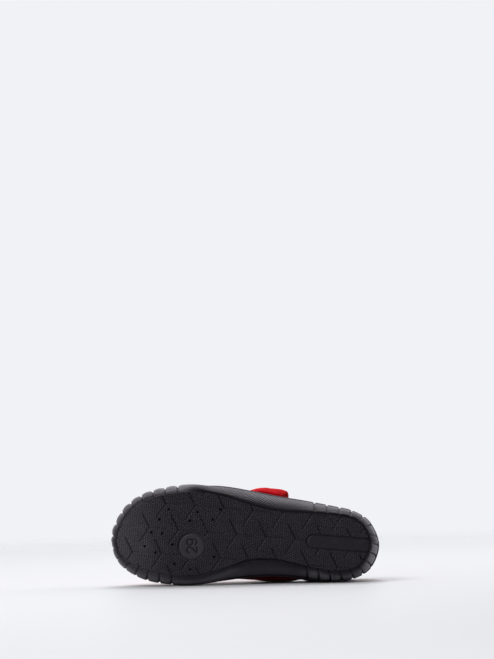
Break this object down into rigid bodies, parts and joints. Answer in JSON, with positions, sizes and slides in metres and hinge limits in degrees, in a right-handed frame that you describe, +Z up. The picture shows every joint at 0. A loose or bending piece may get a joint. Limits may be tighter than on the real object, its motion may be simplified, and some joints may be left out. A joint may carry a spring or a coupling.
{
  "type": "house slipper",
  "caption": "Child's left house slipper lying on its side, with a moulded rubber cup sole, a hollow textile upper open at throat and collar, and a hook-and-loop strap over the instep.",
  "frame": {"origin": "middle of the lying shoe's footprint, on the floor", "axes": "+X from toe to heel, -Y the way the tread faces, +Z up from the floor, towards the shoe's lateral side"},
  "size_m": [0.1996, 0.0664, 0.0744],
  "materials": {
    "sole_rubber": "moulded, matte",
    "insole_textile": "soft brushed lining",
    "upper_felt": "wool felt, matte with short nap",
    "tongue_felt": "padded wool felt, matte",
    "strap_felt": "felt strap with a sewn edge, matte",
    "hook_tape": "woven tape with hooks",
    "loop_tape": "woven tape with a loop pile"
  },
  "bodies": {
    "root": {"outsole": "sole_rubber", "insole": "insole_textile", "upper": "upper_felt", "tongue": "tongue_felt", "strap": "strap_felt", "hook_patch": "hook_tape", "loop_patch": "loop_tape"}
  },
  "joints": []
}
